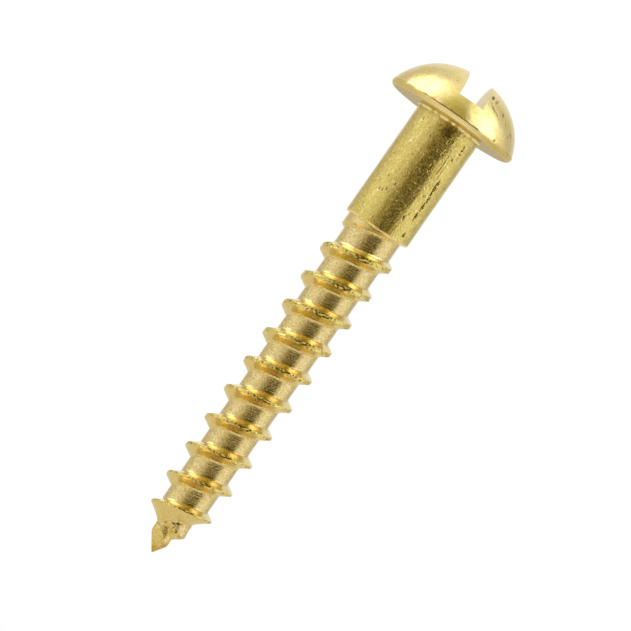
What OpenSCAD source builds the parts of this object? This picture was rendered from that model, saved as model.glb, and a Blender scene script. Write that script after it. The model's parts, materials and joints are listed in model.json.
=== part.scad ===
// Slotted round-head wood screw, No. 6 x 1 in (3.5 x 25 mm class), brass.
// The screw is one piece of metal. It is modelled as four solids that meet face to face.
// Frame: +Z runs up the axis through the head; z = 0 is the flat bearing face under the head.

/* [Shank] */
// Diameter of the plain shank, which is the screw's nominal size
shank_d = 3.5; // [3.3:0.05:3.7]
// Length of the plain shank below the head
shank_len = 6.25; // [4:0.05:12]
// Bevel at the shank's lower end, where the thread was cut
shank_bevel = 0.08; // [0.02:0.01:0.2]
// Diameter of the shank's root inside the head
neck_d = 4.2; // [4.1:0.1:4.6]
// Height of the shank's root inside the head
neck_h = 0.5; // [0.2:0.1:0.8]

/* [Head] */
// Diameter of the head across its rim
head_d = 7; // [6.6:0.1:7.6]
// Height of the head above the bearing face
head_h = 2.65; // [2.4:0.05:3]
// Height of the upright rim around the head
rim_h = 0.3; // [0.25:0.05:0.5]
// Radius of the rounded lower edge of the rim
rim_round = 0.22; // [0.05:0.01:0.24]
// How far the rim stands proud of the dome
rim_step = 0.03; // [0.01:0.01:0.06]
// Radius of the small flat crown on top of the dome
crown_r = 0.3; // [0.1:0.1:0.6]

/* [Driver slot] */
// Width of the slot
slot_w = 1.37; // [0.8:0.01:1.6]
// Depth of the slot below the crown of the head
slot_depth = 1.39; // [0.8:0.01:1.5]
// How far the slot lies off the screw's axis
slot_offset = 0.03; // [0:0.01:0.1]
// Turn of the slot about the axis, from the Y axis
slot_turn = 4.7; // [-90:0.1:90]

/* [Thread] */
// Length of the screw from the bearing face to the tip
screw_len = 25.4; // [20:0.1:40]
// Distance between neighbouring crests
pitch = 1.67; // [1.5:0.01:2]
// Diameter over the crests just below the shank
crest_d = 3.48; // [3:0.01:3.5]
// Diameter over the crests at the last full turn
crest_d_end = 3.2; // [3:0.01:3.5]
// Width of the flat crest just below the shank
crest_w = 0.3; // [0.1:0.01:0.35]
// Width of the flat crest at the last full turn
crest_w_end = 0.1; // [0.05:0.01:0.2]
// Diameter of the core below the first turn
core_d = 2.58; // [2.2:0.01:2.7]
// Diameter of the core at the last full turn
core_d_end = 2.21; // [2:0.01:2.3]
// Slope of the ridge's flanks, from square to the axis
flank_angle = 30; // [20:1:35]
// Direction in which the ridge leaves the shank, turned from the X axis
run_out_turn = 285; // [0:5:355]

/* [Point] */
// Height of the point, from the end of the thread to the tip
point_h = 1.4; // [1.2:0.1:2]
// Diameter of the point where it meets the thread
point_d = 1.6; // [1.2:0.1:1.8]
// How far the gimlet twist carries the point off the axis
point_lean = 0.14; // [0:0.01:0.2]
// Turn of the gimlet twist for each millimetre of height
point_twist = 400; // [0:10:500]

/* [Hidden] */
$fn = 96;

head_r = head_d / 2;
shank_r = shank_d / 2;
neck_r = neck_d / 2;
slot_floor = head_h - slot_depth;

// The dome is one arc that starts on the rim and ends level at the edge of the crown.
dome_foot = [head_r - rim_step, rim_h + rim_step];
dome_run = dome_foot[0] - crown_r;
dome_rise = head_h - dome_foot[1];
dome_r = (dome_run * dome_run + dome_rise * dome_rise) / (2 * dome_rise);
dome_start = 90 - asin(min(1, dome_run / dome_r));

// Thread, as a strip one pitch wide that winds down around the core
steps = 48;
step_angle = 360 / steps;
thread_top = -shank_len;
thread_end = point_h - screw_len;
first_turn = 30;
last_gap = 0.22;
turned = (thread_top - thread_end - last_gap) / pitch * 360;
columns = floor((turned - first_turn) / step_angle);
// Heights at which the crests reach and leave their full size, and of the waist above the point
full_start = thread_top - pitch * 0.8;
full_end = thread_end + pitch * 0.85;
waist_z = thread_end + pitch * 0.54;
waist_r = core_d_end * 0.42;
// How much the core and the last crest differ from their nominal radii
shallow_cut = 0.15;
last_crest_r = core_d_end * 0.65;
foot_blend = 0.02;
// Rows: groove above, foot and edge of the upper flank, edge and foot of the lower flank
rows = 5;

// Core radius against height: the first cut is shallow, and the last turn narrows to the point.
core_line = [
    [thread_end, point_d / 2],
    [waist_z, waist_r],
    [full_end + pitch * 0.12, core_d_end / 2],
    [thread_top - pitch * 1.2, core_d / 2],
    [thread_top - pitch * 0.6, core_d / 2 + shallow_cut * 0.7],
    [thread_top, core_d / 2 + shallow_cut]
];
// Crest radius against height: it rises out of the core below the shank and sinks back at the point.
crest_line = [
    [thread_end + last_gap, point_d / 2],
    [thread_end + pitch * 0.42, last_crest_r],
    [full_end, crest_d_end / 2],
    [full_start, crest_d / 2],
    [thread_top - pitch * first_turn / 360, core_d / 2 + shallow_cut]
];
crest_width_line = [[full_end, crest_w_end], [full_start, crest_w]];
// The lower flank of the last turn is long and runs out onto the point.
lower_slope_line = [[thread_end + pitch * 0.48, tan(flank_angle + 19)], [full_end, tan(flank_angle)]];

function arc(centre, r, from, to, count) = [
    for (i = [0 : count])
        let (a = from + (to - from) * i / count)
        [centre[0] + r * cos(a), centre[1] + r * sin(a)]
];

function winding(i) = first_turn + i * step_angle;
function crest_z(i) = thread_top - pitch * winding(i) / 360;
function on_core(i, z) = on_axis(i, lookup(z, core_line), z);
function on_axis(i, r, z) = [
    r * cos(run_out_turn - winding(i)),
    r * sin(run_out_turn - winding(i)),
    z
];

// One column of the strip, from the groove above the ridge to the foot of its lower flank
function column(i) =
    let (
        z = crest_z(i),
        r = max(lookup(z, crest_line), lookup(z, core_line)),
        rise = r - lookup(z, core_line),
        half = lookup(z, crest_width_line) / 2,
        room_up = i < steps ? thread_top - z : pitch,
        room_down = i > columns - steps ? z - thread_end : pitch,
        up = min(half, room_up * 0.5),
        down = min(half, room_down * 0.3),
        foot_up = min(up + rise * tan(flank_angle) + foot_blend, room_up * 0.9),
        foot_down = min(down + rise * lookup(z, lower_slope_line) + foot_blend, room_down * 0.9)
    )
    [
        on_core(i, i < steps ? thread_top : z + pitch / 2),
        on_core(i, z + foot_up),
        on_axis(i, r, z + up),
        on_axis(i, r, z - down),
        on_core(i, z - foot_down)
    ];

module head() {
    color("#d9bd63")
    difference() {
        rotate_extrude()
        polygon(concat(
            [[0, neck_h], [neck_r, neck_h], [neck_r, 0]],
            arc([head_r - rim_round, rim_round], rim_round, -90, 0, 5),
            [[head_r, rim_h]],
            arc([crown_r, head_h - dome_r], dome_r, dome_start, 90, 18),
            [[0, head_h]]
        ));
        rotate([0, 0, slot_turn])
        translate([slot_offset - slot_w / 2, -head_r, slot_floor])
        cube([slot_w, head_d, head_h]);
    }
}

module shank() {
    color("#b79a45")
    rotate_extrude()
    polygon([
        [0, neck_h],
        [neck_r, neck_h],
        [neck_r, 0],
        [shank_r, 0],
        [shank_r, shank_bevel - shank_len],
        [shank_r - shank_bevel, -shank_len],
        [0, -shank_len]
    ]);
}

module thread() {
    last = columns;
    strip = [for (i = [0 : last], p = column(i)) p];
    // The bottom ring closes the last turn on the plane where the point starts.
    bottom = len(strip) - 1;
    ring = [for (i = [last - steps + 1 : last]) on_core(i, thread_end)];
    function at(i, k) =
        k < rows ? i * rows + k
        : i + steps <= last ? (i + steps) * rows
        : bottom + i - (last - steps);
    flanks = [
        for (i = [0 : last - 1], k = [0 : rows - 1])
            if (!(i == steps - 1 && k == 0) && !(i == last - steps && k == rows - 1))
                for (f = [
                    [at(i, k), at(i + 1, k + 1), at(i + 1, k)],
                    [at(i, k), at(i, k + 1), at(i + 1, k + 1)]
                ]) f
    ];
    // Where the strip comes round to its own start, and where it ends, the faces fan out to meet it.
    start_edge = concat([for (k = [0 : rows - 1]) at(0, k)], [at(steps, 0), at(steps, 1), at(steps - 1, 1)]);
    start_fan = [
        for (j = [0 : len(start_edge) - 2])
            [at(steps - 1, 0), start_edge[j + 1], start_edge[j]]
    ];
    end_edge = concat([at(last - steps + 1, rows - 1), at(last - steps, rows - 1)],
        [for (k = [0 : rows]) at(last, k)]);
    end_fan = [
        for (j = [0 : len(end_edge) - 2])
            [at(last - steps + 1, rows), end_edge[j], end_edge[j + 1]]
    ];
    top_face = [for (i = [0 : steps - 1]) at(i, 0)];
    bottom_face = [for (i = [last : -1 : last - steps + 1]) at(i, rows)];
    color("#e0b84c")
    polyhedron(
        points = concat(strip, ring),
        faces = concat(flanks, start_fan, end_fan, [top_face, bottom_face])
    );
}

module point() {
    levels = 14;
    sides = 48;
    radius_line = [
        [-screw_len, 0],
        [-screw_len + point_h * 0.5, point_d * 0.31],
        [-screw_len + point_h * 0.72, point_d * 0.36],
        [thread_end, point_d / 2]
    ];
    lean_line = [
        [-screw_len, 0],
        [-screw_len + point_h * 0.72, point_lean * 0.7],
        [-screw_len + point_h * 0.93, point_lean],
        [thread_end, 0]
    ];
    rings = [
        for (j = [0 : levels - 1], i = [0 : sides - 1])
            let (
                z = thread_end - point_h * j / levels,
                r = lookup(z, radius_line),
                e = lookup(z, lean_line),
                twist = point_twist * (z - thread_end)
            )
            [
                r * cos(i * 360 / sides) + e * cos(twist),
                r * sin(i * 360 / sides) + e * sin(twist),
                z
            ]
    ];
    tip = levels * sides;
    side_faces = [
        for (j = [0 : levels - 2], i = [0 : sides - 1])
            let (a = j * sides + i, b = j * sides + (i + 1) % sides)
            for (f = [[a, b, b + sides], [a, b + sides, a + sides]]) f
    ];
    tip_faces = [
        for (i = [0 : sides - 1])
            [(levels - 1) * sides + i, (levels - 1) * sides + (i + 1) % sides, tip]
    ];
    top_face = [for (i = [sides - 1 : -1 : 0]) i];
    color("#dcb24a")
    polyhedron(
        points = concat(rings, [[0, 0, -screw_len]]),
        faces = concat(side_faces, tip_faces, [top_face])
    );
}

head();
shank();
thread();
point();
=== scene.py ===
# Brass slotted round-head wood screw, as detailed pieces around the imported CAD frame.
# Shapes are worked out in millimetres and turned into metres when a mesh is made.
import json
import math

import bmesh
import bpy
import numpy as np
from mathutils import Matrix, Vector


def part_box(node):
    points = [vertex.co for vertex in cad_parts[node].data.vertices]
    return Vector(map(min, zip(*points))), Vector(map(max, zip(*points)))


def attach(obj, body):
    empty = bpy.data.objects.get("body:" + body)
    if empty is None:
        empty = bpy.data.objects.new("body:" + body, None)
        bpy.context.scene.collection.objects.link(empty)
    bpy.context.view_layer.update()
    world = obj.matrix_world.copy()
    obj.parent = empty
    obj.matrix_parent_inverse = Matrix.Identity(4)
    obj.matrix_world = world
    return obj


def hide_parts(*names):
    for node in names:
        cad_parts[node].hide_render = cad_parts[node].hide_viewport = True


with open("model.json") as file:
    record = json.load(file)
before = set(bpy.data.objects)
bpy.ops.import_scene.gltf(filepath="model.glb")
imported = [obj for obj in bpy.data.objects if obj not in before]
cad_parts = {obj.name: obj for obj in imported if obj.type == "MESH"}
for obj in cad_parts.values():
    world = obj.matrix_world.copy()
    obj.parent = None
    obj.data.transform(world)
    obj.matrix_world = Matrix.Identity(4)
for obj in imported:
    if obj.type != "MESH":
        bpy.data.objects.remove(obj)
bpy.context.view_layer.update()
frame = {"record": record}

MM = 0.001
TURN = 2 * math.pi
FRONT_ANGLE = 276    # direction of the front, in degrees round from +X: the groove is deepest there and the rim has a painted highlight

# ---- Places and sizes from the frame, mm ----
MOUNTS = {mount["name"]: mount for mount in frame["record"]["mounts"]}
HEAD_R = (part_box("head")[1] / MM).x
SHANK_R = MOUNTS["shank"]["dims"]["r_mm"]
THREAD_END, SHANK_END = ((corner / MM).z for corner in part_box("thread"))
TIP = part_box("point")[0].z / MM
SLOT_FLOOR = MOUNTS["driver_slot"]["pos_m"][2] / MM
SLOT_OFFSET = MOUNTS["driver_slot"]["pos_m"][0] / MM

# ---- Head, mm ----
SLOT_W = 1.37
SLOT_TURN = math.radians(4.7)
SLOT_EDGE = 0.035            # rounding of the slot's upper edges
SLOT_FILLET = 0.05           # rounding at the slot's floor
RIM_TOP = 0.275              # top of the upright band round the head
RIM_ROUND = (0.26, 0.262)    # rounding of its lower edge, across and up
DOME_FOOT_Z = 0.325
DOME_R = 3.325               # radius of the dome's arc
DOME_CENTRE = (0.3, -0.675)
CREASE = 0.05                # depth of the fine groove between rim and dome
CREASE_INSET = 0.012         # how far the groove's lips stand in from the rim
FRONT_SPREAD = (38, 20)      # how far the front reaches to the -X and +X side, in degrees

# ---- Thread, mm ----
SHANK_LAP = 0.1              # how far the thread's core runs up inside the shank
PITCH = 1.67
LEAVES_SHANK = math.radians(285)     # direction in which the ridge leaves the shank
FLANK = math.tan(math.radians(30))          # slope of the flanks, from square to the axis
FIRST_FLANK = math.tan(math.radians(33))    # lower flank where the ridge leaves the shank
LAST_FLANK = math.tan(math.radians(40))     # lower flank of the last turn
LAST_LIFT = 0.1                             # how much higher the last half turn lies than its helix
ROOT = 0.022                                # rounding at the ridge's foot
# Turns below the shank between which that lift sets in, the core becomes the stub, and the ridge ends
LIFT_TURNS = (9.75, 10)
STUB_TURNS = (9.95, 10.2)
END_TURNS = (10.2, 10.9)
# Radii and widths against turns below the shank
CREST_TURNS = [-1, 0.3, 0.8, 3, 9, 9.8, 10.2, 10.3, 10.5, 10.75, 11]
CREST_RADII = [1.52, 1.55, 1.745, 1.70, 1.63, 1.56, 1.48, 1.46, 1.15, 0.9, 0.5]
CREST_WIDTHS = [0.3, 0.3, 0.27, 0.24, 0.12, 0.1, 0.08, 0.06, 0.04, 0.04, 0.04]
# Radius of the core, constant across each groove, against the turns at the groove's middle
GROOVE_TURNS = [0.5, 1.5, 2.5, 9.5]
GROOVE_RADII = [1.39, 1.30, 1.27, 1.12]
CORE_SHIFT = 0.03            # how far the core stands to the +X side
# Above the ridge's first half turn no groove is cut: how far up the crest reaches there, past its width
UNCUT_TURNS = [0, 0.35, 0.6]
UNCUT_REACH = [0, 0.6, 0]

# ---- Point, mm ----
STUB_R = 0.785                       # core below the last ridge
STUB_ENDS = (-24, -23)               # heights of its lower and upper end
STUB_SHIFT = (0.15, 0.075)           # how far it stands to the +X side at each
NECK_R, NECK_SHIFT = 0.55, -0.095    # the thinner neck below its slanted end
TIP_BLUNT = 0.02                     # half width of the tip's blunt end
TIP_SLOPE = 0.52                     # how fast the four flats of the tip spread
TIP_FACET = math.radians(246)        # direction in which one of them faces
CUT_SLOPE = 0.72                     # slope of the stub's end
CUT_ANGLES = [0, 90, 200, 250, 262, 300, 360]     # its height against degrees round from +X
CUT_HEIGHTS = [-24.0, -23.95, -23.9, -23.76, -23.78, -24.02, -24.0]


def smooth(low, high, x):
    """0 at low, 1 at high, and a smooth step between them."""
    t = np.clip((np.asarray(x, float) - low) / (high - low), 0, 1)
    return t * t * (3 - 2 * t)


def ripple(theta, z, radius, size, seed, stretch=1):
    """Seeded noise of grain size (mm) on a round surface, about -1 to 1, stretched along z."""
    rng = np.random.default_rng(seed)
    total = np.zeros(np.broadcast(theta, z).shape)
    count, peak = 24, 1.5
    for _ in range(count):
        direction = rng.uniform(0, TURN)
        rate = TURN / size * rng.uniform(0.5, 1.5)
        turns = round(rate * radius * math.cos(direction))
        total += np.sin(turns * theta + rate * math.sin(direction) / stretch * z + rng.uniform(0, TURN))
    return total / math.sqrt(count / 2) / peak


def polar(theta, radius, z):
    """Points of a round surface as an array of rows by columns by 3."""
    theta, radius, z = np.broadcast_arrays(theta, radius, z)
    return np.stack([radius * np.cos(theta), radius * np.sin(theta), z], axis=-1)


def grid_faces(rows, columns):
    """Quads of a grid that closes round the axis, rows running down, and its two end caps."""
    faces = []
    for i in range(rows - 1):
        for j in range(columns):
            a, b = i * columns + j, i * columns + (j + 1) % columns
            faces.append((a, a + columns, b + columns, b))
    faces.append(tuple(range(columns)))
    faces.append(tuple((rows - 1) * columns + j for j in reversed(range(columns))))
    return faces


DARK_DEPTH = 0.02    # pits at least this deep, in mm, are dark all through


def press_pits(points, outward, pits):
    """Press pits (centre, direction, length, width, depth) into a surface. Returns points and mask."""
    mask = np.zeros(points.shape[:-1])
    for centre, direction, length, width, depth in pits:
        x, z = points[..., 0], points[..., 2]
        away = points - centre
        along = away @ direction
        across = np.linalg.norm(away - along[..., None] * direction, axis=-1)
        ragged = 0.5 * np.sin(37 * z + 29 * x) * np.sin(41 * x - 17 * z)
        reach = np.sqrt((along / length * 2) ** 2 + (across / width * 2) ** 2)
        hole = 1 - smooth(0.4, 1.3, reach + ragged)
        points = points - outward * (hole * depth)[..., None]
        mask = np.maximum(mask, hole * min(depth / DARK_DEPTH, 1))
    return points, mask


MERGE = 0.0005                # points closer than this, in mm, become one
SLIVER = 0.0003               # faces thinner than this, in mm, are removed
SHARP = math.radians(38)      # edges that turn further than this are shaded sharp


def make_piece(name, work, material, nodes):
    """A shown piece from a bmesh in mm: it rides on the body and stands for its CAD nodes."""
    for face in work.faces:
        face.smooth = True
    bmesh.ops.remove_doubles(work, verts=work.verts, dist=MERGE)
    bmesh.ops.dissolve_degenerate(work, edges=work.edges, dist=SLIVER)
    bmesh.ops.holes_fill(work, edges=[e for e in work.edges if e.is_boundary], sides=0)
    # The wide flat faces, such as the slot's floor, become triangles that are shaded flat.
    wide = [f for f in work.faces if len(f.verts) > 4]
    for face in bmesh.ops.triangulate(work, faces=wide)["faces"]:
        face.smooth = False
    bmesh.ops.dissolve_degenerate(work, edges=work.edges, dist=SLIVER)
    bmesh.ops.recalc_face_normals(work, faces=work.faces)
    bmesh.ops.scale(work, vec=(MM, MM, MM), verts=work.verts)
    mesh = bpy.data.meshes.new(name)
    work.to_mesh(mesh)
    work.free()
    mesh.set_sharp_from_angle(angle=SHARP)
    mesh.materials.append(material)
    piece = bpy.data.objects.new(name, mesh)
    bpy.context.scene.collection.objects.link(piece)
    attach(piece, "root")
    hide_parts(*nodes)
    return piece


def as_bmesh(points, faces, masks):
    """A bmesh from points in mm, with each mask kept as a vertex layer that the material reads."""
    mesh = bpy.data.meshes.new("work")
    points = points.reshape(-1, 3)
    mesh.from_pydata(points.tolist(), [], faces)
    for name, mask in masks.items():
        layer = mesh.attributes.new(name, "FLOAT", "POINT")
        layer.data.foreach_set("value", np.ascontiguousarray(mask, np.float32).reshape(-1))
    work = bmesh.new()
    work.from_mesh(mesh)
    bpy.data.meshes.remove(mesh)
    return work


# ---- Materials ----
class Surface:
    """A metal material under construction: short calls that add and link nodes."""

    def __init__(self, name, metallic=1.0):
        self.material = bpy.data.materials.new(name)
        self.material.use_nodes = True
        self.nodes = self.material.node_tree.nodes
        self.links = self.material.node_tree.links
        self.shader = self.nodes["Principled BSDF"]
        self.shader.inputs["Metallic"].default_value = metallic
        self.place = self.nodes.new("ShaderNodeTexCoord").outputs["Object"]

    def put(self, value, socket):
        if isinstance(value, bpy.types.NodeSocket):
            self.links.new(value, socket)
        else:
            socket.default_value = value

    def stretched(self, scale):
        """Object coordinates in mm, scaled by (x, y, z)."""
        node = self.nodes.new("ShaderNodeMapping")
        self.links.new(self.place, node.inputs["Vector"])
        node.inputs["Scale"].default_value = [s / MM for s in scale]
        return node.outputs["Vector"]

    def mask(self, name):
        """A vertex layer of the mesh."""
        node = self.nodes.new("ShaderNodeAttribute")
        node.attribute_name = name
        return node.outputs["Fac"]

    def noise(self, vector, scale=1.0, detail=3.0, roughness=0.55):
        node = self.nodes.new("ShaderNodeTexNoise")
        self.links.new(vector, node.inputs["Vector"])
        node.inputs["Scale"].default_value = scale
        node.inputs["Detail"].default_value = detail
        node.inputs["Roughness"].default_value = roughness
        return node.outputs["Fac"]

    def between(self, value, low, high, new_low=0.0, new_high=1.0):
        """value moved from low..high to new_low..new_high, and held there."""
        node = self.nodes.new("ShaderNodeMapRange")
        for socket, number in zip(("Value", "From Min", "From Max", "To Min", "To Max"),
                                  (value, low, high, new_low, new_high)):
            self.put(number, node.inputs[socket])
        return node.outputs["Result"]

    def sum(self, *parts):
        """Weighted sum of (value, weight) pairs."""
        total = 0.0
        for value, weight in parts:
            node = self.nodes.new("ShaderNodeMath")
            node.operation = "MULTIPLY_ADD"
            for socket, number in zip(node.inputs, (value, weight, total)):
                self.put(number, socket)
            total = node.outputs["Value"]
        return total

    def blend(self, amount, first, second):
        """Colour first where amount is 0, second where it is 1."""
        node = self.nodes.new("ShaderNodeMix")
        node.data_type = "RGBA"
        colours = [s for s in node.inputs if s.type == "RGBA"]
        self.put(amount, node.inputs["Factor"])
        self.put(first, colours[0])
        self.put(second, colours[1])
        return next(s for s in node.outputs if s.type == "RGBA")

    def finish(self, colour, roughness, height, depth):
        """Set the shader. height is 0 to 1, and depth is what 1 stands for, in mm."""
        bump = self.nodes.new("ShaderNodeBump")
        bump.inputs["Distance"].default_value = depth * MM
        self.links.new(height, bump.inputs["Height"])
        self.links.new(bump.outputs["Normal"], self.shader.inputs["Normal"])
        self.put(colour, self.shader.inputs["Base Color"])
        self.put(roughness, self.shader.inputs["Roughness"])
        return self.material


PALE_BRASS = (0.87, 0.71, 0.33, 1)
YELLOW_BRASS = (0.84, 0.69, 0.22, 1)
DEEP_BRASS = (0.70, 0.54, 0.15, 1)
BRIGHT_BRASS = (1.0, 0.87, 0.42, 1)
CUT_BRASS = (0.97, 0.81, 0.40, 1)
DULL_CUT_BRASS = (0.68, 0.51, 0.19, 1)
FLANK_BRASS = (0.92, 0.76, 0.36, 1)
POINT_BRASS = (0.95, 0.77, 0.33, 1)
DULL_FLANK_BRASS = (0.76, 0.60, 0.22, 1)
# Painted shade under the head and round the rim's sides
SHADE_BRASS = (0.46, 0.34, 0.085, 1)
# Painted highlight: the head's rim at the front, the shank's end bevel and lip, the thread's first flank
HIGHLIGHT_BRASS = (1.0, 0.86, 0.48, 1)
AMBER_BRASS = (0.58, 0.37, 0.06, 1)
OLIVE_BRASS = (0.36, 0.28, 0.07, 1)
# Painted shade in the head's groove, and a brown patch on the shank under the head
BROWN_BRASS = (0.30, 0.18, 0.05, 1)
SKIN_SPOT = (0.28, 0.20, 0.04, 1)
DARK_PIT = (0.10, 0.075, 0.02, 1)


def head_brass():
    s = Surface("head_brass")
    grain = s.noise(s.stretched((9, 9, 9)), detail=4, roughness=0.7)
    tone = s.noise(s.stretched((1.3, 1.3, 1.3)), detail=3)
    scratch = s.noise(s.stretched((14, 3, 16)), detail=4, roughness=0.7)
    fleck = s.noise(s.stretched((6, 6, 6)), detail=2)
    colour = s.blend(s.between(tone, 0.4, 0.7), PALE_BRASS, YELLOW_BRASS)
    colour = s.blend(s.between(fleck, 0.36, 0.46, 0.45, 0), colour, DEEP_BRASS)
    colour = s.blend(s.between(grain, 0.58, 0.74, 0, 0.4), colour, OLIVE_BRASS)
    # Painted shade under the head and round the rim's sides, less at the front
    colour = s.blend(s.mask("under"), colour, SHADE_BRASS)
    # Painted highlight on the rim at the front
    colour = s.blend(s.mask("painted_highlight"), colour, HIGHLIGHT_BRASS)
    # Painted shade: the groove between rim and dome darkened brown
    colour = s.blend(s.mask("crease_shade"), colour, BROWN_BRASS)
    colour = s.blend(s.mask("pit"), colour, DARK_PIT)
    height = s.sum((grain, 0.5), (scratch, 0.5))
    return s.finish(colour, s.between(grain, 0.3, 0.7, 0.24, 0.36), height, 0.009)


def shank_brass():
    s = Surface("shank_brass")
    mottle = s.noise(s.stretched((4.5, 4.5, 3.5)), detail=3, roughness=0.6)
    speck = s.noise(s.stretched((10, 10, 8)), detail=3, roughness=0.7)
    drawn = s.noise(s.stretched((10, 10, 1.0)), detail=3, roughness=0.6)
    colour = s.blend(s.between(speck, 0.38, 0.6), DEEP_BRASS, YELLOW_BRASS)
    fleck = s.noise(s.stretched((7, 7, 5)), detail=2)
    colour = s.blend(s.between(fleck, 0.58, 0.68, 0, 0.8), colour, BRIGHT_BRASS)
    colour = s.blend(s.between(mottle, 0.52, 0.7, 0, 0.35), colour, OLIVE_BRASS)
    # Brown in a patch down the front, just under the head
    colour = s.blend(s.sum((s.mask("front_brown"), 0.7)), colour, BROWN_BRASS)
    colour = s.blend(s.mask("dent"), colour, BRIGHT_BRASS)
    # Painted highlight on the end bevel and on the lip under the head
    colour = s.blend(s.mask("painted_highlight"), colour, HIGHLIGHT_BRASS)
    colour = s.blend(s.mask("pit"), colour, DARK_PIT)
    height = s.sum((mottle, 0.4), (speck, 0.25), (drawn, 0.2), (s.between(fleck, 0.56, 0.68), 0.15))
    return s.finish(colour, s.between(speck, 0.3, 0.7, 0.17, 0.28), height, 0.009)


def thread_brass():
    s = Surface("thread_brass")
    speck = s.noise(s.stretched((11, 11, 11)), detail=3, roughness=0.7)
    mottle = s.noise(s.stretched((4, 4, 4)), detail=3, roughness=0.6)
    around = s.nodes.new("ShaderNodeCombineXYZ")
    s.links.new(s.mask("phase_cos"), around.inputs["X"])
    s.links.new(s.mask("phase_sin"), around.inputs["Y"])
    turned = s.noise(around.outputs["Vector"], scale=2.6, detail=3, roughness=0.7)
    tint = s.between(speck, 0.38, 0.62)
    core = s.blend(tint, DULL_CUT_BRASS, CUT_BRASS)
    flank = s.blend(tint, DULL_FLANK_BRASS, FLANK_BRASS)
    colour = s.blend(s.mask("flank"), core, flank)
    # Painted highlight on the lower flank where the ridge leaves the shank
    colour = s.blend(s.mask("bright"), colour, HIGHLIGHT_BRASS)
    spots = s.noise(s.stretched((6, 6, 9)), detail=2, roughness=0.5)
    old_skin = s.blend(s.between(spots, 0.53, 0.68), YELLOW_BRASS, SKIN_SPOT)
    colour = s.blend(s.between(mottle, 0.6, 0.75, 0, 0.5), colour, OLIVE_BRASS)
    colour = s.blend(s.mask("skin"), colour, old_skin)
    height = s.sum((turned, 0.35), (speck, 0.35), (mottle, 0.3))
    return s.finish(colour, s.between(speck, 0.3, 0.7, 0.13, 0.24), height, 0.013)


def point_brass():
    s = Surface("point_brass")
    speck = s.noise(s.stretched((9, 9, 9)), detail=3, roughness=0.7)
    mottle = s.noise(s.stretched((3, 3, 3)), detail=3, roughness=0.6)
    colour = s.blend(s.between(speck, 0.38, 0.62), DULL_FLANK_BRASS, POINT_BRASS)
    colour = s.blend(s.between(mottle, 0.5, 0.62, 0, 0.7), colour, AMBER_BRASS)
    colour = s.blend(s.mask("tip"), colour, AMBER_BRASS)
    height = s.sum((speck, 0.5), (mottle, 0.5))
    return s.finish(colour, s.between(speck, 0.3, 0.7, 0.16, 0.28), height, 0.018)


# ---- Head ----
SLOT_X = Vector((math.cos(SLOT_TURN), math.sin(SLOT_TURN), 0))
SLOT_Y = Vector((-math.sin(SLOT_TURN), math.cos(SLOT_TURN), 0))


def head_outline():
    """Half outline of the head, (radius, height), from the crown down round the rim and in underneath."""
    reach, rise = DOME_CENTRE
    foot_angle = math.asin((DOME_FOOT_Z - rise) / DOME_R)
    dome = [(reach + DOME_R * math.cos(a), rise + DOME_R * math.sin(a))
            for a in np.linspace(math.pi / 2, foot_angle, 84)]
    crease = [(HEAD_R - CREASE_INSET, DOME_FOOT_Z + (RIM_TOP - DOME_FOOT_Z) * t)
              for t in (0.2, 0.35, 0.5, 0.65, 0.8, 1)]
    across, up = RIM_ROUND
    lower_edge = [(HEAD_R - across * (1 - math.cos(a)), up * (1 - math.sin(a)))
                  for a in np.linspace(0, math.pi / 2, 12)]
    under = [(r, 0) for r in np.linspace(HEAD_R - across, SHANK_R - 0.15, 18)[1:]]
    return [(0.1, DOME_R + rise)] + dome + crease + lower_edge + under


HEAD_PITS = [  # degrees round from +X, height, length, width, depth, lean to the +X side in degrees
    (300, 2.1, 0.38, 0.18, 0.02, 35), (305, 1.98, 0.26, 0.13, 0.018, 20),
    (309, 2.08, 0.16, 0.12, 0.02, 30), (301, 1.66, 0.55, 0.2, 0.012, -40),
    (307, 1.5, 0.3, 0.12, 0.012, -40), (317, 1.68, 0.24, 0.16, 0.025, 20),
    (322, 1.38, 0.14, 0.08, 0.015, 0), (333, 1.10, 0.18, 0.15, 0.025, 0),
    (328, 0.95, 0.16, 0.1, 0.015, 30), (311, 0.36, 0.16, 0.12, 0.02, 60),
    (250, 1.75, 0.1, 0.08, 0.01, 0), (226, 1.1, 0.12, 0.06, 0.008, 0),
    (120, 1.9, 0.25, 0.12, 0.02, 30), (68, 1.2, 0.18, 0.1, 0.02, -20),
    (150, 0.9, 0.2, 0.08, 0.015, 0),
]


def pit_on_dome(degrees, height, length, width, depth, lean):
    """A pit on the dome, lying up its slope or leaning to one side."""
    angle = math.radians(degrees)
    reach, rise = DOME_CENTRE
    slope = math.asin(min(1, (height - rise) / DOME_R))
    radius = reach + DOME_R * math.cos(slope)
    centre = np.array([radius * math.cos(angle), radius * math.sin(angle), height])
    inward = -math.sin(slope)
    uphill = np.array([inward * math.cos(angle), inward * math.sin(angle), math.cos(slope)])
    sideways = np.array([-math.sin(angle), math.cos(angle), 0])
    lean = math.radians(lean)
    return centre, uphill * math.cos(lean) + sideways * math.sin(lean), length, width, depth


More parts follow.
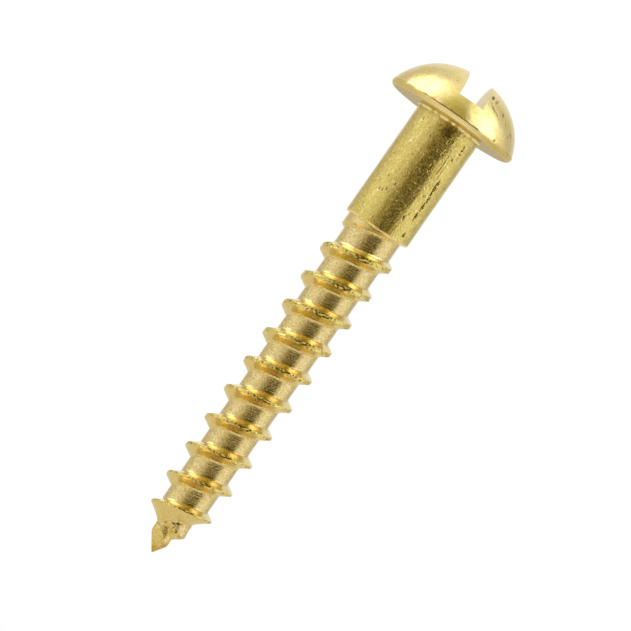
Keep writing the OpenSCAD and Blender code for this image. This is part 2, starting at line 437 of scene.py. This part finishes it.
def cut_slot(work):
    """Open the dome for the driver slot and build the slot's walls. make_piece closes its floor."""
    mouth = SLOT_W / 2 + SLOT_EDGE

    def across(vert):
        return vert.co.dot(SLOT_X) - SLOT_OFFSET

    for side in (-1, 1):
        bmesh.ops.bisect_plane(work, geom=work.verts[:] + work.edges[:] + work.faces[:], dist=0.0002,
                               plane_co=SLOT_X * (SLOT_OFFSET + side * mouth), plane_no=SLOT_X)
    band = [f for f in work.faces if abs(sum(across(v) for v in f.verts) / len(f.verts)) < mouth
            and f.calc_center_median().z > SLOT_FLOOR / 2]
    pieces = list({e for f in band for e in f.edges}) + list({v for f in band for v in f.verts}) + band
    bmesh.ops.bisect_plane(work, geom=pieces, dist=0.0002,
                           plane_co=(0, 0, SLOT_FLOOR), plane_no=(0, 0, 1))
    gone = [f for f in work.faces if f.calc_center_median().z > SLOT_FLOOR
            and abs(f.calc_center_median().dot(SLOT_X) - SLOT_OFFSET) < mouth]
    bmesh.ops.delete(work, geom=gone, context="FACES")
    rim = {v for e in work.edges if e.is_boundary for v in e.verts}
    for side in (-1, 1):
        line = [v for v in rim if abs(across(v) - side * mouth) < 2 * MERGE]
        line.sort(key=lambda v: v.co.dot(SLOT_Y))
        columns = [slot_wall_column(work, v, side) for v in line]
        for one, two in zip(columns, columns[1:]):
            for a, b, c, d in zip(one, one[1:], two[1:], two):
                corners = [a, b, c, d]
                work.faces.new(corners if side > 0 else corners[::-1])


def slot_wall_column(work, top, side):
    """Points down a slot wall, from the dome's cut edge round to the floor."""
    depth = max(top.co.z - SLOT_FLOOR, 0)
    edge, fillet = min(SLOT_EDGE, depth * 0.4), min(SLOT_FILLET, depth * 0.4)
    along = SLOT_Y * top.co.dot(SLOT_Y)
    steps = [(SLOT_W / 2 + SLOT_EDGE * (1 - math.sin(a)), top.co.z - edge * (1 - math.cos(a)))
             for a in np.linspace(0, math.pi / 2, 5)[1:]]
    low, high = SLOT_FLOOR + fillet, top.co.z - edge
    steps += [(SLOT_W / 2, high + (low - high) * t) for t in (0.25, 0.5, 0.75)]
    steps += [(SLOT_W / 2 - SLOT_FILLET * (1 - math.cos(a)), SLOT_FLOOR + fillet * (1 - math.sin(a)))
              for a in np.linspace(0, math.pi / 2, 5)]
    places = [SLOT_X * (SLOT_OFFSET + side * x) + along + Vector((0, 0, z)) for x, z in steps]
    return [top] + [work.verts.new(place) for place in places]


def head():
    columns = 480
    outline = np.array(head_outline())
    theta = np.linspace(0, TURN, columns, endpoint=False)[None, :]
    radius, z = outline[:, :1], outline[:, 1:]
    upper = smooth(0.15, 0.6, z)
    waviness = 0.006 * ripple(theta, z, HEAD_R * 0.7, 0.9, seed=11)
    waviness = waviness + 0.001 * ripple(theta, z, HEAD_R, 0.25, seed=12)
    rim_wear = 0.008 * ripple(theta, 0 * z, HEAD_R, 0.5, seed=13)
    rim_wear = rim_wear * smooth(0.0, 0.1, z) * (1 - smooth(0.3, 0.5, z))
    # The groove between rim and dome is deep at the front and almost closed at the sides.
    off_front = np.degrees(theta) - FRONT_ANGLE
    front = np.exp(-(off_front / np.where(off_front < 0, *FRONT_SPREAD)) ** 2)
    uneven = ripple(theta, z, HEAD_R, 1.1, seed=14)
    depth = CREASE * np.clip(0.15 + front + 0.2 * uneven, 0.05, 1)
    groove = np.sin(np.clip((DOME_FOOT_Z - z) / (DOME_FOOT_Z - RIM_TOP), 0, 1) * math.pi)
    points = polar(theta, radius + rim_wear * (radius > SHANK_R) - depth * groove, z)
    outward = points - np.array([0, 0, DOME_CENTRE[1]])
    outward /= np.linalg.norm(outward, axis=-1, keepdims=True)
    points = points + outward * (waviness * upper)[..., None]
    points, pit = press_pits(points, outward, [pit_on_dome(*p) for p in HEAD_PITS])
    # Painted shade in the groove between rim and dome, strongest at the front and uneven round the sides.
    crease = smooth(RIM_TOP - 0.005, RIM_TOP + 0.02, z)
    crease = crease * (1 - smooth(DOME_FOOT_Z - 0.025, DOME_FOOT_Z + 0.005, z))
    crease_shade = crease * np.clip(0.25 + front + 0.25 * uneven, 0, 1)
    # Painted highlight on the rim at the front; painted shade on the rim round the sides and on the face
    # under the head, less at the front.
    rim = smooth(0.0, 0.05, z) * (1 - smooth(RIM_TOP - 0.01, RIM_TOP, z))
    under = (1 - smooth(0.0, 0.02, z)) * (1 - 0.8 * front) + 0.35 * rim * (1 - front)
    painted_highlight = front * rim
    masks = {"pit": pit, "crease_shade": crease_shade, "under": under, "painted_highlight": painted_highlight}
    work = as_bmesh(points, grid_faces(len(outline), columns), masks)
    cut_slot(work)
    return make_piece("screw_head", work, head_brass(), ["head"])


# ---- Shank ----
SHANK_PITS = [  # degrees round from +X, height, length, width, depth
    (317, -0.65, 0.12, 0.14, 0.04), (317, -0.85, 0.16, 0.12, 0.04), (317, -1.05, 0.12, 0.14, 0.04),
    (318, -1.25, 0.1, 0.07, 0.03), (287, -0.85, 0.3, 0.14, 0.04), (286, -2.35, 0.55, 0.15, 0.05),
    (289, -1.55, 0.16, 0.1, 0.03), (314, -2.95, 0.6, 0.18, 0.05), (315, -3.35, 0.45, 0.15, 0.04),
    (317, -3.75, 0.35, 0.15, 0.04), (316, -4.2, 0.5, 0.16, 0.05), (315, -4.75, 0.55, 0.15, 0.04),
    (317, -5.85, 0.3, 0.14, 0.05), (296, -5.1, 0.2, 0.08, 0.03), (310, -1.5, 0.16, 0.08, 0.03),
    (236, -3.9, 0.3, 0.05, 0.015), (241, -4.6, 0.25, 0.05, 0.015),
    (300, -2.3, 3.6, 0.04, 0.01), (306, -2.1, 3.2, 0.04, 0.01),
]


# How far the shank's end stands off square, against degrees round from +X: lowest at the front
END_ANGLES = [0, 90, 180, 234, 270, 302, 330, 360]
END_SHIFTS = [0.06, 0.02, -0.06, -0.12, -0.15, -0.12, -0.03, 0.06]
# Middle and half width of the scuffed strip, in degrees round from +X
SCUFFED_AT, SCUFFED_SPREAD = 302, 9


def shank_pits():
    """The large pits in their places, and small ones all round."""
    rng = np.random.default_rng(5)
    small = [(rng.uniform(0, 360), rng.uniform(SHANK_END + 0.3, -0.3), rng.uniform(0.08, 0.3),
              rng.uniform(0.03, 0.06), rng.uniform(0.01, 0.02)) for _ in range(60)]
    return [(polar(math.radians(angle), SHANK_R, z), np.array([0, 0, 1.0]), length, width, depth)
            for angle, z, length, width, depth in SHANK_PITS + small]


def shank_dents():
    """Shallow bright dents, slanting either way."""
    rng = np.random.default_rng(6)
    dents = []
    for _ in range(130):
        angle, z, lean = rng.uniform(0, TURN), rng.uniform(SHANK_END + 0.2, -0.2), rng.uniform(-1.2, 1.2)
        sideways = np.array([-math.sin(angle), math.cos(angle), 0])
        direction = sideways * math.sin(lean) + np.array([0, 0, math.cos(lean)])
        dents.append((polar(angle, SHANK_R, z), direction, rng.uniform(0.1, 0.22), 0.06, 0.007))
    return dents


def shank():
    columns, bevel = 400, 0.11
    lip_rows = np.array([0.12, 0.06, 0.03, 0.0, -0.03, -0.06])
    body_rows = np.linspace(-0.1, SHANK_END + bevel, 190)
    bevel_rows = SHANK_END + bevel * np.array([0.7, 0.4, 0.15, 0])
    rows = np.concatenate([lip_rows, body_rows, bevel_rows, [SHANK_END, SHANK_END]])
    upright = np.zeros(len(lip_rows) + len(body_rows))
    inward = np.concatenate([upright, bevel * np.array([0, 0.25, 0.5, 0.75]), [0.3, 0.7]])[:, None]
    theta = np.linspace(0, TURN, columns, endpoint=False)[None, :]
    ragged = 0.5 + 0.5 * ripple(theta, 0, SHANK_R, 0.4, seed=21)
    # The cut at the shank's end is not quite square, and its edge is chipped.
    low = smooth(SHANK_END + 0.6, SHANK_END, rows[:, None])
    z = rows[:, None] + low * (np.interp(np.degrees(theta), END_ANGLES, END_SHIFTS) + 0.03 * ragged)
    lip = (0.03 + 0.06 * ragged) * (1 - smooth(0.0, 0.05 + 0.05 * ragged, -z))
    body = 0.004 * ripple(theta, z, SHANK_R, 0.5, seed=22, stretch=3)
    body = body + 0.001 * ripple(theta, z, SHANK_R, 0.16, seed=23)
    # A scuffed strip down the front, on the +X side
    strip = np.exp(-((np.degrees(theta) - SCUFFED_AT) / SCUFFED_SPREAD) ** 4)
    scuffs = 0.004 * ripple(theta, z, SHANK_R, 0.2, seed=26)
    scuffs = scuffs + 0.003 * ripple(theta, z, SHANK_R, 0.12, seed=27)
    body = body + strip * scuffs
    radius = SHANK_R - inward * (1 + 0.6 * (ragged - 0.5) * (inward < bevel)) + lip + body * (inward == 0)
    points = polar(theta, radius, z)
    outward = polar(theta, 1.0, 0 * z)
    points, pit = press_pits(points, outward, shank_pits())
    points, dent = press_pits(points, outward, shank_dents())
    # Browner in a patch down the front, just under the head.
    off_front = np.degrees(theta) - FRONT_ANGLE + 6 * ripple(theta, z, SHANK_R, 0.3, seed=24)
    fading = smooth(-1.0, -0.6, z + 0.1 * ripple(theta, z, SHANK_R, 0.3, seed=25))
    front_brown = (1 - smooth(5, 14, np.abs(off_front))) * fading * smooth(0.02, -0.05, z)
    # Painted highlight along the bevel at the shank's end and along the lip under the head, ragged.
    painted_highlight = smooth(SHANK_END + bevel, SHANK_END + bevel / 2, rows[:, None]) * smooth(0.1, 0.4, ragged)
    painted_highlight = np.maximum(painted_highlight, smooth(-0.11, -0.05, z + 0.03 * ragged) * smooth(0.2, 0.6, ragged))
    masks = {"pit": pit, "dent": dent, "front_brown": front_brown, "painted_highlight": painted_highlight}
    work = as_bmesh(points, grid_faces(len(rows), columns), masks)
    return make_piece("screw_shank", work, shank_brass(), ["shank"])


# ---- Thread ----
def neck_radius(theta, z):
    """Below the last ridge: an off-centre stub with a slanted end, a thinner neck and a four-sided tip."""
    rough = 0.010 * ripple(theta, z, NECK_R, 0.3, seed=41)
    stub = STUB_R + np.interp(z, STUB_ENDS, STUB_SHIFT) * np.cos(theta) + rough
    sector = np.mod(theta - TIP_FACET + TURN / 8, TURN / 4) - TURN / 8
    tip = (TIP_BLUNT + TIP_SLOPE * (z - TIP)) / np.cos(sector)
    neck = NECK_R + NECK_SHIFT * np.cos(theta)
    pointed = np.minimum(tip, neck)
    cut_z = np.interp(np.degrees(theta), CUT_ANGLES, CUT_HEIGHTS) + 3 * rough
    low = cut_z - CUT_SLOPE * np.maximum(stub - neck, 0)
    return np.clip(pointed + (z - low) / CUT_SLOPE, pointed, np.maximum(stub, pointed))


def core_radius(theta, middle):
    """Radius of the core in the groove whose middle lies so many turns below the shank."""
    return np.interp(middle, GROOVE_TURNS, GROOVE_RADII) + CORE_SHIFT * np.cos(theta)


def ridge(theta, at):
    """The ridge so many turns below the shank: crest radius, half widths above and below, lower slope."""
    crest = np.interp(at, CREST_TURNS, CREST_RADII)
    uneven = 1 + 0.1 * ripple(theta, at * 3, 1.6, 1.1, seed=31)
    half = np.interp(at, CREST_TURNS, CREST_WIDTHS) / 2 * uneven
    first, last = 1 - smooth(0.4, 0.8, at), smooth(9.5, 10.1, at)
    slope = FLANK + (FIRST_FLANK - FLANK) * first + (LAST_FLANK - FLANK) * last
    return crest, half + np.interp(at, UNCUT_TURNS, UNCUT_REACH), half, slope


def thread_shape(theta, z):
    """Radius of the thread, and masks of the crest's old skin, the cut flanks and the painted highlight on
    the first lower flank.
    """
    start = np.mod(LEAVES_SHANK - theta, TURN) / TURN
    turns = (SHANK_END - z) / PITCH
    at = start + np.maximum(np.round(turns - start), -1)
    below = (turns - at) * PITCH + LAST_LIFT * smooth(*LIFT_TURNS, at)
    core = core_radius(theta, start + np.floor(turns - start) + 0.5)
    stub = neck_radius(theta, z)
    core = core + (stub - core) * smooth(*STUB_TURNS, turns)
    crest, half_above, half_below, lower = ridge(theta, at)
    # The flanks are cut clean, and the old skin left between them is rough and chipped.
    old_skin = crest + 0.008 * ripple(theta, z, 1.7, 0.22, seed=32) * smooth(0.1, 0.6, at)
    cut = crest + np.where(below < 0, (half_above + below) / FLANK, (half_below - below) / lower)
    height = np.minimum(old_skin, cut) - core
    skin = smooth(-0.01, 0.02, cut - old_skin) * smooth(0.05, 0.12, height) * smooth(0.3, 0.6, at)
    radius = core + (height + np.sqrt(height ** 2 + 4 * ROOT ** 2)) / 2
    radius = stub + (radius - stub) * smooth(END_TURNS[1], END_TURNS[0], turns)
    flank = smooth(0.0, 0.06, height) * (1 - skin)
    # Painted highlight on the lower flank where the ridge leaves the shank.
    bright = smooth(0.02, 0.06, height) * (below > half_below - 0.02) * smooth(0.2, 0.12, at)
    return radius, skin, flank, bright


def ridge_middle(at):
    """Height of the ridge's middle line at so many turns below the shank."""
    return SHANK_END - PITCH * at + LAST_LIFT * smooth(*LIFT_TURNS, at)


def rows_across(edge, slope, rise, reach):
    """Mesh rows on one side of a ridge, from its middle to the groove's middle, which is reach mm away."""
    foot = np.minimum(edge + rise * slope, reach * 0.96)
    crest = [edge * t for t in np.linspace(0, 1, 5)[1:]]
    flank = [edge + (foot - edge) * t for t in np.linspace(0, 1, 7)[1:]]
    groove = [foot + (reach - foot) * t for t in np.linspace(0, 1, 8)[1:]]
    return crest + flank + groove


def thread():
    columns = 240
    theta = np.linspace(0, TURN, columns, endpoint=False)
    heights = []
    # Rows follow the helix, so that the ridge's edges lie on mesh lines.
    for pitch in range(-2, math.ceil((SHANK_END - THREAD_END) / PITCH) + 2):
        at = pitch + (LEAVES_SHANK - theta) / TURN
        crest, half_above, half_below, lower = ridge(theta, at)
        rise = np.maximum(crest - core_radius(theta, at), 0.1)
        middle = ridge_middle(at)
        up = rows_across(half_above, FLANK, rise, (ridge_middle(at - 1) - middle) / 2)
        down = rows_across(half_below, lower, rise, (middle - ridge_middle(at + 1)) / 2)
        above = [middle + step for step in up[:-1]]
        heights += above[::-1] + [middle] + [middle - step for step in down]
        rows_per_pitch = len(above) * 2 + 2
    z = np.clip(np.array(heights), THREAD_END, SHANK_END + SHANK_LAP)
    theta = theta[None, :]
    radius, skin, flank, bright = thread_shape(theta, z)
    phase = (SHANK_END - z) / PITCH * TURN - (LEAVES_SHANK - theta)
    masks = {"skin": skin, "flank": flank, "bright": bright,
             "phase_cos": np.cos(phase), "phase_sin": np.sin(phase)}
    work = as_bmesh(polar(theta, radius, z), helix_faces(len(z), columns, rows_per_pitch), masks)
    return make_piece("screw_thread", work, thread_brass(), ["thread"])


def helix_faces(rows, columns, rows_per_pitch):
    """Quads of rows that follow the helix: the last column joins the first one a pitch further up."""
    faces = []
    for i in range(rows - 1):
        for j in range(columns):
            shift = rows_per_pitch if j == columns - 1 else 0
            low, high = i * columns + j, (i - shift) * columns + (j + 1) % columns
            if i >= shift:
                faces.append((low, low + columns, high + columns, high))
    return faces


# ---- Point ----
def point():
    columns, rows = 160, 100
    theta = np.linspace(0, TURN, columns, endpoint=False)[None, :]
    z = np.linspace(THREAD_END, TIP + 0.004, rows)[:, None]
    radius = neck_radius(theta, z)
    right = smooth(0.3, 0.8, np.cos(theta)) * smooth(TIP + 0.75, TIP + 0.6, z)
    tip = 0.85 * np.maximum(right, smooth(TIP + 0.45, TIP + 0.1, z))
    work = as_bmesh(polar(theta, radius, z), grid_faces(rows, columns), {"tip": tip})
    return make_piece("screw_point", work, point_brass(), ["point"])


# ---- Floor, light and camera ----
SEEN_FLOOR = (0.92, 0.92, 0.9, 1)
REFLECTED_FLOOR = (0.67, 0.63, 0.49, 1)


def floor():
    """A pale floor. The metal reflects it darker and warmer than the camera sees it."""
    level, reach = -60 * MM, 1.3
    corners = [(x * reach, y * reach, level) for x, y in ((-1, -1), (1, -1), (1, 1), (-1, 1))]
    mesh = bpy.data.meshes.new("floor")
    mesh.from_pydata(corners, [], [(0, 1, 2, 3)])
    surface = Surface("pale_floor", metallic=0.0)
    seen = surface.nodes.new("ShaderNodeLightPath").outputs["Is Camera Ray"]
    pale = surface.blend(seen, REFLECTED_FLOOR, SEEN_FLOOR)
    surface.links.new(pale, surface.shader.inputs["Base Color"])
    surface.shader.inputs["Roughness"].default_value = 0.9
    mesh.materials.append(surface.material)
    sheet = bpy.data.objects.new("floor", mesh)
    bpy.context.scene.collection.objects.link(sheet)


# Degrees round from the front, positive to the right, and the studio's brightness and warmth there
STUDIO = [
    (-180, 1.0, 0.0), (-160, 0.9, 0.0), (-142, 0.57, 0.15), (-118, 0.66, 0.15), (-95, 0.8, 0.1),
    (-71, 0.9, 0.0), (-50, 0.82, 0.1), (-30, 0.58, 0.3), (-12, 0.24, 0.8), (0, 0.11, 1.0),
    (12, 0.07, 1.0), (38, 0.07, 1.0), (48, 0.5, 0.5), (58, 0.9, 0.0), (80, 1.0, 0.0),
    (100, 0.9, 0.0), (120, 0.66, 0.15), (142, 0.54, 0.15), (160, 0.85, 0.0), (180, 1.0, 0.0),
]
# Soft boxes: direction, colour times strength, and angle from middle to edge
SOFT_BOXES = [
    ((-0.79, -0.06, 0.61), (1.9, 1.84, 2.1), 33),
    ((0.63, -0.31, 0.71), (1.9, 1.84, 2.1), 30),
    ((0.1, -0.6, 0.8), (0.2, 0.2, 0.0), 45),
    ((0, 0, 1), (0.25, 0.25, 0.25), 48),
]


def studio():
    """A white studio with a dark gap at the front and soft boxes above; the camera sees plain white."""
    world = bpy.data.worlds.new("studio")
    bpy.context.scene.world = world
    world.use_nodes = True
    nodes, links = world.node_tree.nodes, world.node_tree.links
    nodes.clear()

    def math_node(operation, *values):
        node = nodes.new("ShaderNodeMath")
        node.operation = operation
        for socket, value in zip(node.inputs, values):
            if isinstance(value, bpy.types.NodeSocket):
                links.new(value, socket)
            else:
                socket.default_value = value
        return node.outputs[0]

    direction = nodes.new("ShaderNodeTexCoord").outputs["Generated"]
    parts = nodes.new("ShaderNodeSeparateXYZ")
    links.new(direction, parts.inputs[0])
    backward = math_node("MULTIPLY", parts.outputs["Y"], -1.0)
    azimuth = math_node("ARCTAN2", parts.outputs["X"], backward)
    along = math_node("MULTIPLY_ADD", azimuth, 1 / TURN, 0.5)
    ramp = nodes.new("ShaderNodeValToRGB")
    links.new(along, ramp.inputs["Fac"])
    stops = ramp.color_ramp.elements
    while len(stops) < len(STUDIO):
        stops.new(0.5)
    for stop, (degrees, level, warmth) in zip(stops, STUDIO):
        stop.position = degrees / 360 + 0.5
        stop.color = (level, level * (1 - 0.25 * warmth), level * (1 - 0.8 * warmth), 1)
    light = ramp.outputs["Color"]
    for toward, colour, spread in SOFT_BOXES:
        dot = nodes.new("ShaderNodeVectorMath")
        dot.operation = "DOT_PRODUCT"
        links.new(direction, dot.inputs[0])
        dot.inputs[1].default_value = Vector(toward).normalized()
        spot = nodes.new("ShaderNodeMapRange")
        spot.interpolation_type = "SMOOTHERSTEP"
        links.new(dot.outputs["Value"], spot.inputs["Value"])
        spot.inputs["From Min"].default_value = math.cos(math.radians(spread))
        add = nodes.new("ShaderNodeVectorMath")
        add.operation = "MULTIPLY_ADD"
        links.new(spot.outputs["Result"], add.inputs[0])
        add.inputs[1].default_value = colour
        links.new(light, add.inputs[2])
        light = add.outputs["Vector"]
    room = nodes.new("ShaderNodeBackground")
    links.new(light, room.inputs["Color"])
    white = nodes.new("ShaderNodeBackground")
    seen = nodes.new("ShaderNodeMixShader")
    white.inputs["Color"].default_value = (1, 1, 1, 1)
    links.new(nodes.new("ShaderNodeLightPath").outputs["Is Camera Ray"], seen.inputs["Fac"])
    links.new(room.outputs[0], seen.inputs[1])
    links.new(white.outputs[0], seen.inputs[2])
    links.new(seen.outputs[0], nodes.new("ShaderNodeOutputWorld").inputs["Surface"])


def camera():
    """A long lens, a little below the screw's middle, rolled so that the screw leans to the right."""
    below, roll, distance = math.radians(3.03), math.radians(34.79), 0.452
    target = Vector((-0.022, 0, -11.41)) * MM
    data = bpy.data.cameras.new("camera")
    data.lens = 530
    data.sensor_width = 36
    data.clip_start = 0.01
    data.clip_end = 10
    place = target + distance * Vector((0, -math.cos(below), -math.sin(below)))
    aim = (target - place).to_track_quat("-Z", "Y").to_matrix().to_4x4()
    eye = bpy.data.objects.new("camera", data)
    bpy.context.scene.collection.objects.link(eye)
    eye.matrix_world = Matrix.Translation(place) @ aim @ Matrix.Rotation(roll, 4, "Z")
    bpy.context.scene.camera = eye
    bpy.context.scene.view_settings.view_transform = "Standard"


camera()
studio()
floor()
head()
shank()
thread()
point()
